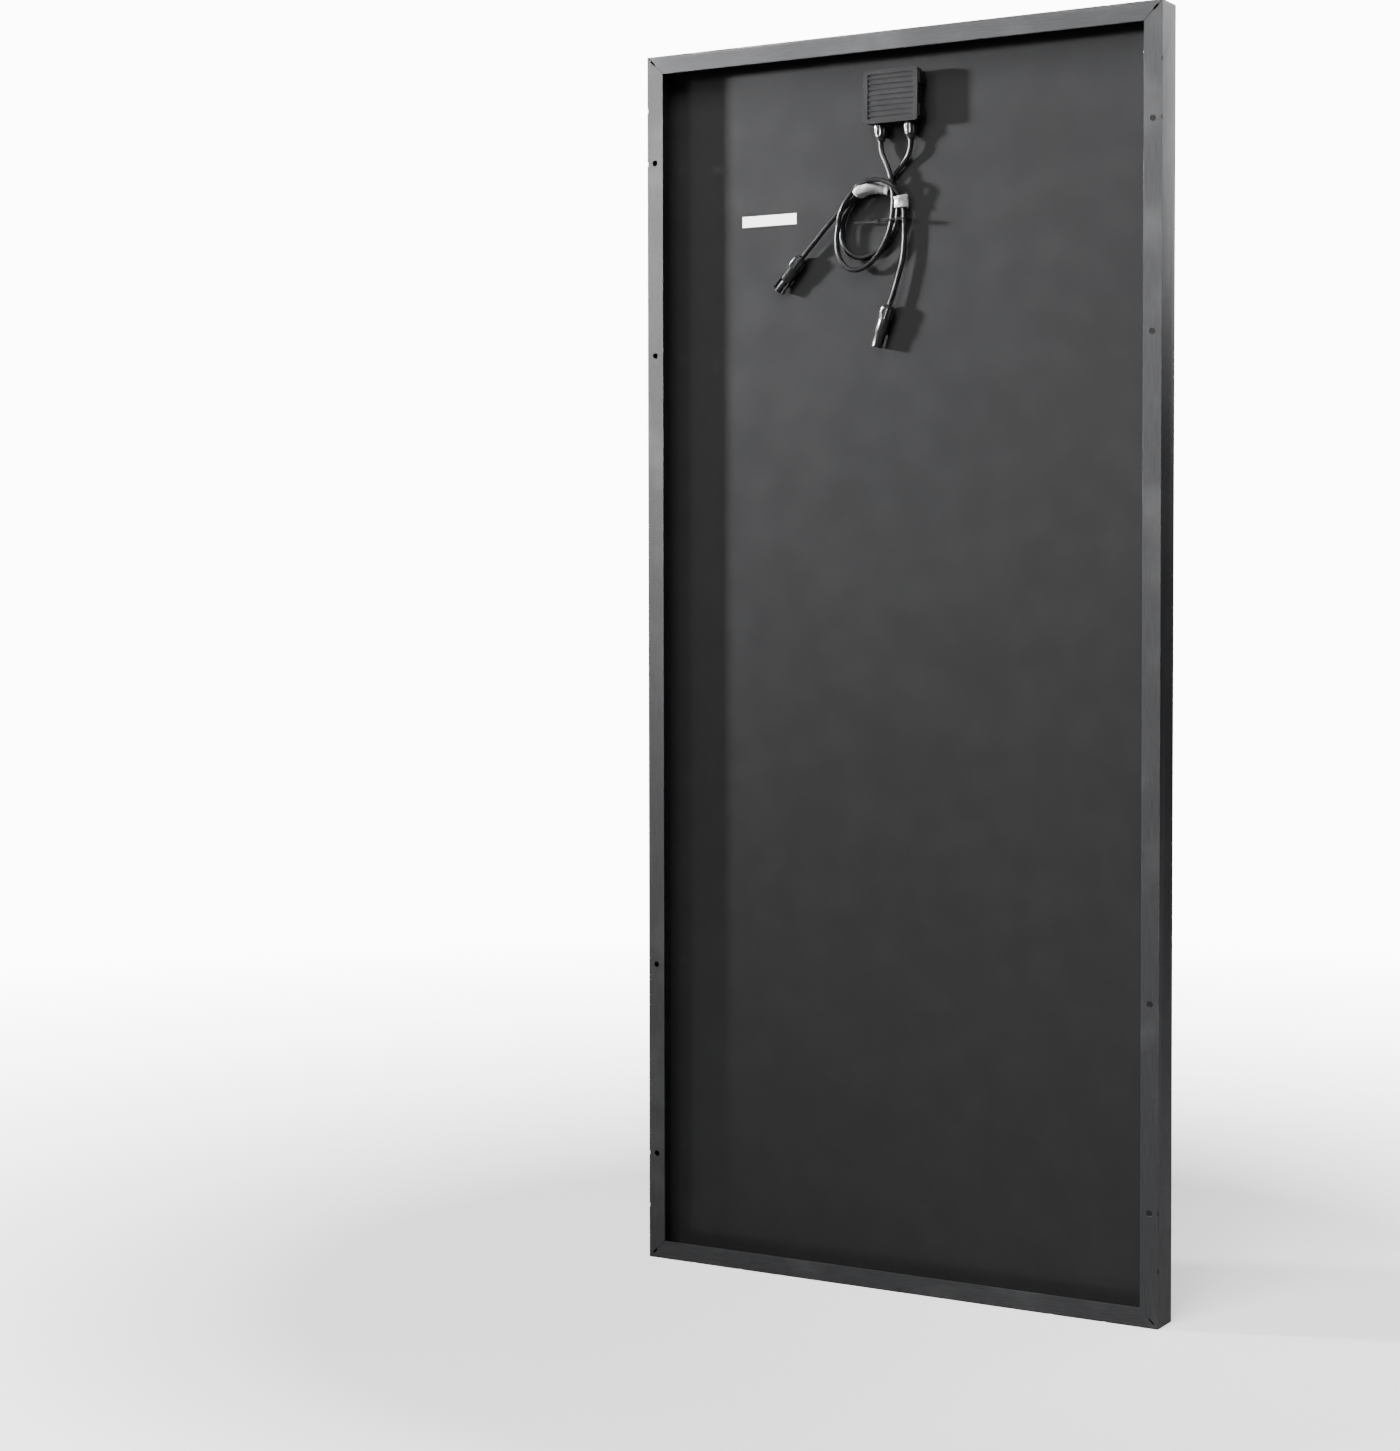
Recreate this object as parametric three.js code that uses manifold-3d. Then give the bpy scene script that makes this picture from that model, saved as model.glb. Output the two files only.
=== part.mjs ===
// Framed solar panel of the 36-cell class, standing upright on its short bottom edge.
// Millimetres, +Z up. The glass faces -Y and the junction box +Y. The origin is the middle of
// the bottom edge, at half of the frame's depth. "Left" is -X and "right" is +X.

import * as THREE from 'three';
import { mergeVertices } from 'three/addons/utils/BufferGeometryUtils.js';
import Module from 'manifold-3d';

const wasm = await Module();
wasm.setup();

// ---------------------------------------------------------------- driving dimensions

const WIDTH = 670;
const HEIGHT = 1480;
const DEPTH = 40;
const FRONT_Y = -DEPTH / 2;
const BACK_Y = DEPTH / 2;

// Frame extrusion: a front lip, a slot for the laminate, a hollow for the corner keys, a back flange.
const WALL = 1.5;
const LIP_REACH = 10;
const LIP_THICK = 1.8;
const SLOT_HEIGHT = 6;
const HOLLOW_REACH = 10;
const HOLLOW_BACK_Y = 5;
const FLANGE_REACH = 22;
const FLANGE_THICK = 1.8;
const MITRE_GAP = 0.15;

// Holes and notches of each frame member, measured from its ends.
const BOLT_HOLE_DIA = 7;
const BOLT_HOLE_INSET = 11;
const BOLT_HOLE_PLACES = [130, 365];
const DRAIN_PLACES = [65, 130];
const DRAIN_WIDTH = 5;
const DRAIN_DEPTH = 1.2;
const CORNER_SLOT = { inset: 8, length: 8, width: 2.2 };

const KEY_LEG = 45;
const FIT = 0.3;

// Laminate plies, from the glass to the backsheet.
const SEAL_FACE = 0.5;
const LAMINATE_INSET = 4;
const PLY_GAP = 0.05;
const GLASS = 3.2;
const FILM = 0.4;
const METAL = 0.2;
const BACKSHEET = 0.3;

// Half-cut cells: four strings of eighteen, nine ribbons on each.
const CELL_WIDTH = 158.75;
const CELL_HEIGHT = CELL_WIDTH / 2;
const STRINGS = 4;
const ROWS = 18;
const STRING_GAP = 2.6;
const ROW_GAP = 1;
const RIBBONS = 9;
const RIBBON_PITCH = 17.24;
const RIBBON_WIDTH = 1.2;
const BUS_INNER = 14.5;
const BUS_OUTER = 11;
const HIDDEN_BUS = [6.3, 9.3];
const LEAD_WIDTH = 6;
const LEAD_X = 11;

// Junction box on the back.
const BOX_X = 6;
const LID_WIDTH = 70;
const LID_BOTTOM_Z = HEIGHT - 105;
const LID_TOP_Z = HEIGHT - 43;
const LID_SKIN = 1.6;
const BASE_INSET = 2;
const BASE_WALL = 2;
const BASE_RIM_Y = 6;
const LID_SKIRT_Y = -1;
const LID_UNDER_Y = 7.2;
const LID_FACE_Y = 9;
const LID_RIB_Y = 10.3;
const LID_RIBS = 8;
const LID_RIB_PITCH = 6.2;
const CLIP_PLACES = [12, 50];
const CLIP_WIDTH = 14;
const LEAD_SLOT_Z = [LID_BOTTOM_Z + 18, LID_BOTTOM_Z + 24];
const TERMINAL_Y = [-8, -7];

// Inside the junction box. Heights are above the lid's bottom edge.
const RAIL_HALF_WIDTH = 5;
const RAIL_BOTTOM = 29;
const RAIL_TOP_INSET = 11;
const PLATE_TOP_INSET = 10;
const PLATE_INNER = 8;
const CLAMP_HALF_WIDTH = 3.5;
const CLAMP_FACE_Y = -0.5;
const CLAMP_SPAN = [12, 18.5];
const DIODE_PLACES = [34, 45];
const DIODE_RADIUS = 2.7;
const DIODE_LENGTH = 10;
const DIODE_Y = -3.5;
const STRIP_BACK = 10;
const BARE_LENGTH = 9;

// Cable glands, cables and connectors.
const GLAND_PITCH = 39;
const GLAND_Y = -4;
const GLAND_MOUTH_Z = LID_BOTTOM_Z - 19.5;
const GLAND_NUT_TOP_Z = LID_BOTTOM_Z - 0.4;
const GLAND_RADIUS = 7.5;
const NECK_RADIUS = 5.5;
const NECK_END_Z = LID_BOTTOM_Z - 5;
const CABLE_RADIUS = 3;
const CABLE_BORE = 3.5;
const CORE_RADIUS = 1.3;
const CABLE_SIDES = 10;
const COIL_FRONT_Y = 6;
const COIL_BACK_Y = -11;
const COIL_CENTRE = [44.3, 1255];
const COIL_OUTSIDE = { halfWidth: 42.3, halfHeight: 52, lean: 14 };
const COIL_INSIDE = { halfWidth: 29, halfHeight: 36, lean: 11 };
const WRAP_THICK = 0.8;
const WIDE_WRAP_ACROSS = [23, 53];
const WIDE_WRAP_UP = [1280, 1320];
const SMALL_WRAP = { across: [-9, 7.5], depth: [-10, 4], up: [1276.5, 1289] };
const SMALL_WRAP_CLEARANCE = 0.6;
const TIE_BAND = { across: [-10.6, 18.4], depth: [-12.3, 7.4], up: [1261, 1263.5], thick: 1 };
const TIE_END = { tip: 63, depth: [-4, -3] };
const TIE_HEAD = { across: [28, 33.5], depth: [-5.5, -1.5], up: [1260, 1264.5] };
const CONNECTOR_RADIUS = 8;
const GRIP_RIBS = 10;

// ---------------------------------------------------------------- finishes

const FINISHES = {
  frame: { color: 0x2a2b2d, roughness: 0.42, metalness: 0.85 },
  key: { color: 0xa9abad, roughness: 0.5, metalness: 0.9 },
  rubber: { color: 0x1b1b1b, roughness: 0.8, metalness: 0 },
  glass: { color: 0x30353a, roughness: 0.05, metalness: 0 },
  film: { color: 0xd8dcdc, roughness: 0.4, metalness: 0 },
  cell: { color: 0x15171c, roughness: 0.35, metalness: 0.2 },
  ribbon: { color: 0xc9cbcd, roughness: 0.3, metalness: 0.9 },
  backsheet: { color: 0x1c1c1e, roughness: 0.3, metalness: 0 },
  label: { color: 0xe4e4e2, roughness: 0.5, metalness: 0 },
  box: { color: 0x1e1e1f, roughness: 0.45, metalness: 0 },
  copper: { color: 0xb87333, roughness: 0.35, metalness: 1 },
  cable: { color: 0x1a1a1a, roughness: 0.4, metalness: 0 },
  wrap: { color: 0xd9d9d6, roughness: 0.45, metalness: 0 },
};

// ---------------------------------------------------------------- shapes

const panel = new THREE.Group();

/** A closed three.js geometry as a solid that can be cut and joined. */
function solid(geometry) {
  const bare = geometry.clone();
  bare.deleteAttribute('normal');
  bare.deleteAttribute('uv');
  const merged = mergeVertices(bare, 1e-4);
  return new wasm.Manifold(new wasm.Mesh({
    numProp: 3,
    vertProperties: Float32Array.from(merged.attributes.position.array),
    triVerts: Uint32Array.from(merged.index.array),
  }));
}

/** The surface of a solid as a three.js geometry. */
function surface(body) {
  const mesh = body.getMesh();
  const geometry = new THREE.BufferGeometry();
  geometry.setAttribute('position', new THREE.BufferAttribute(mesh.vertProperties, 3));
  geometry.setIndex(new THREE.BufferAttribute(mesh.triVerts, 1));
  geometry.computeVertexNormals();
  return geometry;
}

function addPart(name, body, finish, parent = panel) {
  const mesh = new THREE.Mesh(surface(body), new THREE.MeshStandardMaterial(FINISHES[finish]));
  mesh.name = name;
  parent.add(mesh);
  return mesh;
}

/** A box between two corners. */
function block([x0, x1], [y0, y1], [z0, z1]) {
  const geometry = new THREE.BoxGeometry(x1 - x0, y1 - y0, z1 - z0);
  geometry.translate((x0 + x1) / 2, (y0 + y1) / 2, (z0 + z1) / 2);
  return solid(geometry);
}

/** A flat outline in X and Z, made solid from y0 to y1. */
function slab(shape, [y0, y1], curveSegments = 12) {
  const geometry = new THREE.ExtrudeGeometry(shape, {
    depth: y1 - y0,
    bevelEnabled: false,
    curveSegments,
  });
  geometry.rotateX(Math.PI / 2);
  geometry.translate(0, y1, 0);
  return solid(geometry);
}

function roundedRectangle([x0, x1], [z0, z1], radius) {
  const shape = new THREE.Shape();
  shape.moveTo(x0 + radius, z0);
  shape.lineTo(x1 - radius, z0);
  shape.absarc(x1 - radius, z0 + radius, radius, -Math.PI / 2, 0, false);
  shape.lineTo(x1, z1 - radius);
  shape.absarc(x1 - radius, z1 - radius, radius, 0, Math.PI / 2, false);
  shape.lineTo(x0 + radius, z1);
  shape.absarc(x0 + radius, z1 - radius, radius, Math.PI / 2, Math.PI, false);
  shape.lineTo(x0, z0 + radius);
  shape.absarc(x0 + radius, z0 + radius, radius, Math.PI, 1.5 * Math.PI, false);
  return shape;
}

/** A turned body on the Z axis, from [radius, z] pairs that run up the outside and close on themselves. */
function turned(profile, sides = 24) {
  const points = profile.map(([radius, z]) => new THREE.Vector2(radius, z));
  const geometry = new THREE.LatheGeometry(points, sides);
  geometry.rotateX(Math.PI / 2);
  return solid(geometry);
}

/** The profile of a plain round bar, for turned. */
const rod = (radius, z0, z1) => [[0, z0], [radius, z0], [radius, z1], [0, z1]];

/** A tube of the cable's diameter through the points. */
function cableTube(points, steps, radius = CABLE_RADIUS) {
  const corners = [];
  for (let side = 0; side < CABLE_SIDES; side += 1) {
    const angle = (side / CABLE_SIDES) * 2 * Math.PI;
    corners.push(new THREE.Vector2(radius * Math.cos(angle), radius * Math.sin(angle)));
  }
  const path = new THREE.CatmullRomCurve3(points.map((point) => new THREE.Vector3(...point)));
  return solid(new THREE.ExtrudeGeometry(new THREE.Shape(corners), {
    steps,
    extrudePath: path,
    bevelEnabled: false,
  }));
}

const union = (bodies) => bodies.reduce((whole, body) => whole.add(body));
const without = (body, cuts) => cuts.reduce((left, cut) => left.subtract(cut), body);

// ---------------------------------------------------------------- frame

const slotFrontY = FRONT_Y + LIP_THICK;
const slotBackY = slotFrontY + SLOT_HEIGHT;
const hollowFrontY = slotBackY + WALL;
const flangeFrontY = BACK_Y - FLANGE_THICK;

/** The extrusion's section: X is the distance inwards from the outer face. */
function frameSection() {
  const section = new THREE.Shape();
  section.moveTo(0, FRONT_Y);
  section.lineTo(LIP_REACH, FRONT_Y);
  section.lineTo(LIP_REACH, slotFrontY);
  section.lineTo(WALL, slotFrontY);
  section.lineTo(WALL, slotBackY);
  section.lineTo(HOLLOW_REACH, slotBackY);
  section.lineTo(HOLLOW_REACH, HOLLOW_BACK_Y);
  section.lineTo(WALL, HOLLOW_BACK_Y);
  section.lineTo(WALL, flangeFrontY);
  section.lineTo(FLANGE_REACH, flangeFrontY);
  section.lineTo(FLANGE_REACH, BACK_Y);
  section.lineTo(0, BACK_Y);
  const hollow = new THREE.Path();
  hollow.moveTo(WALL, hollowFrontY);
  hollow.lineTo(WALL, HOLLOW_BACK_Y - WALL);
  hollow.lineTo(HOLLOW_REACH - WALL, HOLLOW_BACK_Y - WALL);
  hollow.lineTo(HOLLOW_REACH - WALL, hollowFrontY);
  section.holes.push(hollow);
  return section;
}

/** One mitred member, from Z = 0 to its length, with its outer face at X = 0. */
function frameMember(length, boltHoles) {
  const geometry = new THREE.ExtrudeGeometry(frameSection(), { depth: length, bevelEnabled: false });
  const position = geometry.attributes.position;
  for (let i = 0; i < position.count; i += 1) {
    const inwards = position.getX(i) + MITRE_GAP;
    position.setZ(i, position.getZ(i) < length / 2 ? inwards : length - inwards);
  }
  const bothEnds = (places) => places.flatMap((place) => [place, length - place]);
  const cuts = bothEnds(boltHoles ? BOLT_HOLE_PLACES : []).map((place) => {
    const drill = new THREE.CylinderGeometry(BOLT_HOLE_DIA / 2, BOLT_HOLE_DIA / 2, 8, 20);
    drill.translate(BOLT_HOLE_INSET, BACK_Y, place);
    return solid(drill);
  });
  for (const place of bothEnds(DRAIN_PLACES)) {
    cuts.push(block(
      [-1, DRAIN_DEPTH],
      [BACK_Y - DRAIN_DEPTH, BACK_Y + 1],
      [place - DRAIN_WIDTH / 2, place + DRAIN_WIDTH / 2],
    ));
  }
  for (const [place, turn] of [[CORNER_SLOT.inset, -1], [length - CORNER_SLOT.inset, 1]]) {
    const slot = new THREE.BoxGeometry(CORNER_SLOT.width, 8, CORNER_SLOT.length);
    slot.rotateY(-turn * (Math.PI / 4));
    slot.translate(CORNER_SLOT.inset, BACK_Y, place);
    cuts.push(solid(slot));
  }
  return without(solid(geometry), cuts);
}

function addFrame() {
  const places = [
    ['frame_side_left', HEIGHT, true, [-WIDTH / 2, 0, 0], 0],
    ['frame_side_right', HEIGHT, true, [WIDTH / 2, 0, HEIGHT], Math.PI],
    ['frame_bottom', WIDTH, false, [WIDTH / 2, 0, 0], -Math.PI / 2],
    ['frame_top', WIDTH, false, [-WIDTH / 2, 0, HEIGHT], Math.PI / 2],
  ];
  for (const [name, length, boltHoles, corner, turn] of places) {
    const member = addPart(name, frameMember(length, boltHoles), 'frame');
    member.position.set(...corner);
    member.rotation.y = turn;
  }
}

/** L-shaped keys that fill the frame's hollow round each corner. */
function addCornerKeys() {
  const outer = WALL + FIT;
  const inner = HOLLOW_REACH - WALL - FIT;
  const depth = [hollowFrontY + FIT, HOLLOW_BACK_Y - WALL - FIT];
  const corners = [
    ['corner_key_bottom_left', -1, 0],
    ['corner_key_bottom_right', 1, 0],
    ['corner_key_top_left', -1, 1],
    ['corner_key_top_right', 1, 1],
  ];
  for (const [name, side, top] of corners) {
    const x = (inwards) => side * (WIDTH / 2 - inwards);
    const z = (inwards) => (top ? HEIGHT - inwards : inwards);
    const span = (a, b) => [Math.min(a, b), Math.max(a, b)];
    const upright = block(span(x(outer), x(inner)), depth, span(z(outer), z(KEY_LEG)));
    const level = block(span(x(outer), x(KEY_LEG)), depth, span(z(outer), z(inner)));
    addPart(name, upright.add(level), 'key');
  }
}

// ---------------------------------------------------------------- laminate

const glassY = [slotFrontY + SEAL_FACE, slotFrontY + SEAL_FACE + GLASS];
const nextPly = (before, thickness) => [before[1] + PLY_GAP, before[1] + PLY_GAP + thickness];
const frontFilmY = nextPly(glassY, FILM);
const ribbonY = nextPly(frontFilmY, METAL);
const cellY = nextPly(ribbonY, METAL);
const rearFilmY = nextPly(cellY, FILM);
const backsheetY = nextPly(rearFilmY, BACKSHEET);
const leadY = [rearFilmY[0], rearFilmY[0] + METAL];

const inset = (distance) => [
  [-WIDTH / 2 + distance, WIDTH / 2 - distance],
  [distance, HEIGHT - distance],
];

/** A full sheet of the laminate. */
function ply(depth, distance = LAMINATE_INSET) {
  const [across, up] = inset(distance);
  return block(across, depth, up);
}

/** The channel-shaped seal round the laminate's edge, inside the frame's slot. */
function edgeSeal() {
  const depth = [slotFrontY + PLY_GAP, slotBackY - PLY_GAP];
  const laminate = ply([glassY[0] - PLY_GAP, backsheetY[1] + PLY_GAP], LAMINATE_INSET - PLY_GAP);
  return without(ply(depth, WALL + PLY_GAP * 2), [laminate, ply([FRONT_Y, BACK_Y], LIP_REACH - 0.4)]);
}

const stringLeft = (index) => {
  const whole = STRINGS * CELL_WIDTH + (STRINGS - 1) * STRING_GAP;
  return -whole / 2 + index * (CELL_WIDTH + STRING_GAP);
};
const cellsHeight = ROWS * CELL_HEIGHT + (ROWS - 1) * ROW_GAP;
const cellsBottom = (HEIGHT - cellsHeight) / 2;
const cellsTop = cellsBottom + cellsHeight;

/** One string of half cells, which a narrow bridge joins across each gap. */
function cellString(index) {
  const left = stringLeft(index);
  const right = left + CELL_WIDTH;
  const bridge = 6;
  const middle = (left + right) / 2;
  const outline = new THREE.Shape();
  outline.moveTo(left, cellsBottom);
  outline.lineTo(right, cellsBottom);
  for (let row = 1; row < ROWS; row += 1) {
    const gapTop = cellsBottom + row * (CELL_HEIGHT + ROW_GAP);
    outline.lineTo(right, gapTop - ROW_GAP);
    outline.lineTo(middle + bridge / 2, gapTop - ROW_GAP);
    outline.lineTo(middle + bridge / 2, gapTop);
    outline.lineTo(right, gapTop);
  }
  outline.lineTo(right, cellsTop);
  outline.lineTo(left, cellsTop);
  for (let row = ROWS - 1; row > 0; row -= 1) {
    const gapTop = cellsBottom + row * (CELL_HEIGHT + ROW_GAP);
    outline.lineTo(left, gapTop);
    outline.lineTo(middle - bridge / 2, gapTop);
    outline.lineTo(middle - bridge / 2, gapTop - ROW_GAP);
    outline.lineTo(left, gapTop - ROW_GAP);
  }
  return slab(outline, cellY);
}

/** The nine ribbons of a string: a comb whose back is a strip above the top cell. */
function stringRibbons(index) {
  const firstRibbon = stringLeft(index) + (CELL_WIDTH - (RIBBONS - 1) * RIBBON_PITCH) / 2;
  const half = RIBBON_WIDTH / 2;
  const bottom = BUS_INNER + FIT;
  const stripBottom = HEIGHT - BUS_INNER - 2;
  const stripTop = HEIGHT - BUS_INNER - FIT;
  const outline = new THREE.Shape();
  outline.moveTo(firstRibbon - half, stripTop);
  for (let ribbon = 0; ribbon < RIBBONS; ribbon += 1) {
    const x = firstRibbon + ribbon * RIBBON_PITCH;
    if (ribbon > 0) outline.lineTo(x - half, stripBottom);
    outline.lineTo(x - half, bottom);
    outline.lineTo(x + half, bottom);
    if (ribbon < RIBBONS - 1) outline.lineTo(x + half, stripBottom);
  }
  outline.lineTo(firstRibbon + (RIBBONS - 1) * RIBBON_PITCH + half, stripTop);
  return slab(outline, ribbonY);
}

/** A flat lead: from its bus strip back past the cells, down behind them, and out through the backsheet. */
function busLead(x, topZ) {
  const margin = METAL / 4;
  const riserTop = topZ - 2 * METAL;
  const riserBottom = riserTop - 2;
  const turnZ = LEAD_SLOT_Z[0] + 2;
  const outline = new THREE.Shape();
  outline.moveTo(ribbonY[0] + margin, riserTop);
  outline.lineTo(ribbonY[0] + margin, riserBottom);
  outline.lineTo(leadY[0], riserBottom);
  outline.lineTo(leadY[0], turnZ);
  outline.lineTo(TERMINAL_Y[0] - FIT, turnZ);
  outline.lineTo(TERMINAL_Y[0] - FIT, turnZ + METAL);
  outline.lineTo(leadY[1], turnZ + METAL);
  outline.lineTo(leadY[1], riserTop);
  const geometry = new THREE.ExtrudeGeometry(outline, { depth: LEAD_WIDTH, bevelEnabled: false });
  geometry.rotateX(Math.PI / 2);
  geometry.rotateZ(Math.PI / 2);
  geometry.translate(x - LEAD_WIDTH / 2, 0, 0);
  return solid(geometry);
}

/** The positive bus: a strip under the lip, which links the strips above the two outer strings. */
function positiveBus(left, right) {
  const [hiddenTop, hiddenBottom] = HIDDEN_BUS.map((distance) => HEIGHT - distance);
  const top = HEIGHT - BUS_OUTER;
  const bottom = HEIGHT - BUS_INNER;
  const link = 4;
  const outline = new THREE.Shape();
  outline.moveTo(left, hiddenTop);
  outline.lineTo(left, bottom);
  outline.lineTo(left + CELL_WIDTH, bottom);
  outline.lineTo(left + CELL_WIDTH, top);
  outline.lineTo(left + link, top);
  outline.lineTo(left + link, hiddenBottom);
  outline.lineTo(right - link, hiddenBottom);
  outline.lineTo(right - link, top);
  outline.lineTo(right - CELL_WIDTH, top);
  outline.lineTo(right - CELL_WIDTH, bottom);
  outline.lineTo(right, bottom);
  outline.lineTo(right, hiddenTop);
  return slab(outline, ribbonY);
}

function addConductors() {
  const span = (first, last) => [stringLeft(first), stringLeft(last) + CELL_WIDTH];
  const low = [BUS_OUTER, BUS_INNER];
  const high = [HEIGHT - BUS_INNER, HEIGHT - BUS_OUTER];
  addPart('bus_bottom_left', block(span(0, 1), ribbonY, low), 'ribbon');
  addPart('bus_bottom_right', block(span(2, 3), ribbonY, low), 'ribbon');
  const negative = block(span(1, 2), ribbonY, high);
  addPart('bus_top_negative', negative.add(busLead(BOX_X - LEAD_X, high[1])), 'ribbon');
  const positive = positiveBus(...span(0, STRINGS - 1));
  addPart('bus_top_positive', positive.add(busLead(BOX_X + LEAD_X, HEIGHT - HIDDEN_BUS[0])), 'ribbon');
}

function addLaminate() {
  addPart('edge_seal', edgeSeal(), 'rubber');
  addPart('front_glass', ply(glassY), 'glass');
  addPart('front_encapsulant', ply(frontFilmY), 'film');
  for (let index = 0; index < STRINGS; index += 1) {
    addPart(`cell_string_${index + 1}`, cellString(index), 'cell');
    addPart(`string_ribbons_${index + 1}`, stringRibbons(index), 'ribbon');
  }
  addConductors();
  const channelHalf = LEAD_WIDTH / 2 + 0.5;
  const channels = [-LEAD_X, LEAD_X].map((x) => block(
    [BOX_X + x - channelHalf, BOX_X + x + channelHalf],
    [FRONT_Y, 0],
    [LEAD_SLOT_Z[0], HEIGHT - HIDDEN_BUS[0] + 0.5],
  ));
  addPart('rear_encapsulant', without(ply(rearFilmY), channels), 'film');
  addPart('backsheet', without(ply(backsheetY), [leadSlot()]), 'backsheet');
  const label = { right: 219, left: 144, bottom: 1268, top: 1281, thick: 0.15 };
  addPart('barcode_label', block(
    [label.left, label.right],
    nextPly(backsheetY, label.thick),
    [label.bottom, label.top],
  ), 'label');
}

/** The opening that both leads pass through, in the backsheet, the adhesive and the box's floor. */
function leadSlot() {
  const reach = LEAD_X + LEAD_WIDTH / 2 + 1.5;
  return block([BOX_X - reach, BOX_X + reach], [FRONT_Y, -5], LEAD_SLOT_Z);
}

// ---------------------------------------------------------------- junction box

const adhesiveY = nextPly(backsheetY, 1);
const baseFloorY = nextPly(adhesiveY, 2);
const baseAcross = [BOX_X - LID_WIDTH / 2 + BASE_INSET, BOX_X + LID_WIDTH / 2 - BASE_INSET];
const baseUp = [LID_BOTTOM_Z + BASE_INSET, LID_TOP_Z - BASE_INSET];
const glandX = { positive: BOX_X + GLAND_PITCH / 2, negative: BOX_X - GLAND_PITCH / 2 };
const shrink = ([a, b], by) => [a + by, b - by];

/** A turned body whose axis is that of a gland. */
const atGland = (body, x) => body.translate([x, GLAND_Y, 0]);

function junctionBoxBase() {
  const outside = slab(roundedRectangle(baseAcross, baseUp, 3), [baseFloorY[0], BASE_RIM_Y], 6);
  const inside = slab(
    roundedRectangle(shrink(baseAcross, BASE_WALL), shrink(baseUp, BASE_WALL), 1.5),
    [baseFloorY[1], BASE_RIM_Y + 1],
    4,
  );
  const bodies = [outside.subtract(inside)];
  const cuts = [leadSlot()];
  for (const x of Object.values(glandX)) {
    bodies.push(atGland(turned(rod(NECK_RADIUS, NECK_END_Z, baseUp[0] + 1)), x));
    cuts.push(atGland(turned(rod(CABLE_BORE, NECK_END_Z - 1, baseUp[0] + 3)), x));
    bodies.push(block(
      [x - RAIL_HALF_WIDTH, x + RAIL_HALF_WIDTH],
      [baseFloorY[1] - 0.5, TERMINAL_Y[0] - FIT],
      [LID_BOTTOM_Z + RAIL_BOTTOM, LID_TOP_Z - RAIL_TOP_INSET],
    ));
  }
  const barb = { proud: 1.3, y: [-5, -2] };
  for (const place of CLIP_PLACES) {
    const z = [LID_TOP_Z - place - 4, LID_TOP_Z - place + 4];
    bodies.push(block([baseAcross[0] - barb.proud, baseAcross[0] + 0.5], barb.y, z));
    bodies.push(block([baseAcross[1] - 0.5, baseAcross[1] + barb.proud], barb.y, z));
  }
  return without(union(bodies), cuts);
}

function junctionBoxLid() {
  const across = [BOX_X - LID_WIDTH / 2, BOX_X + LID_WIDTH / 2];
  const up = [LID_BOTTOM_Z, LID_TOP_Z];
  const border = 5;
  const shell = slab(roundedRectangle(across, up, 4), [LID_SKIRT_Y, LID_RIB_Y], 6);
  const cavity = slab(
    roundedRectangle(shrink(across, LID_SKIN), shrink(up, LID_SKIN), 3),
    [LID_SKIRT_Y - 1, LID_UNDER_Y],
    5,
  );
  const recess = slab(
    roundedRectangle(shrink(across, border), shrink(up, border), 2),
    [LID_FACE_Y, LID_RIB_Y + 1],
    4,
  );
  const bodies = [shell];
  const cuts = [cavity, recess];
  for (const x of Object.values(glandX)) {
    const half = NECK_RADIUS + 0.7;
    cuts.push(block([x - half, x + half], [LID_SKIRT_Y - 1, GLAND_Y + half], [LID_BOTTOM_Z - 1, LID_BOTTOM_Z + 3]));
  }
  const ribs = [];
  const ribWidth = 2.4;
  const firstRib = (LID_BOTTOM_Z + LID_TOP_Z - (LID_RIBS - 1) * LID_RIB_PITCH) / 2;
  for (let rib = 0; rib < LID_RIBS; rib += 1) {
    const z = firstRib + rib * LID_RIB_PITCH;
    ribs.push(block(
      shrink(across, border - 0.5),
      [LID_FACE_Y - 0.5, LID_RIB_Y - 0.3],
      [z - ribWidth / 2, z + ribWidth / 2],
    ));
  }
  const armY = [-6, LID_FACE_Y - 0.5];
  for (const place of CLIP_PLACES) {
    const z = [LID_TOP_Z - place - CLIP_WIDTH / 2, LID_TOP_Z - place + CLIP_WIDTH / 2];
    ribs.push(block([across[0] - 2, across[0] + 0.4], armY, z));
    ribs.push(block([across[1] - 0.4, across[1] + 2], armY, z));
  }
  return union([without(union(bodies), cuts), ...ribs]);
}

function addJunctionBox() {
  const pad = block(shrink(baseAcross, 2), adhesiveY, shrink(baseUp, 2));
  addPart('box_adhesive', pad.subtract(leadSlot()), 'rubber');
  addPart('junction_box_base', junctionBoxBase(), 'box');
  addPart('junction_box_lid', junctionBoxLid(), 'box');
  const gasketY = [BASE_RIM_Y + 0.1, LID_UNDER_Y - 0.1];
  const gasket = slab(roundedRectangle(baseAcross, baseUp, 3), gasketY, 6);
  const opening = slab(
    roundedRectangle(shrink(baseAcross, BASE_WALL), shrink(baseUp, BASE_WALL), 1.5),
    [gasketY[0] - 1, gasketY[1] + 1],
    4,
  );
  addPart('lid_gasket', gasket.subtract(opening), 'rubber');
}

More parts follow.
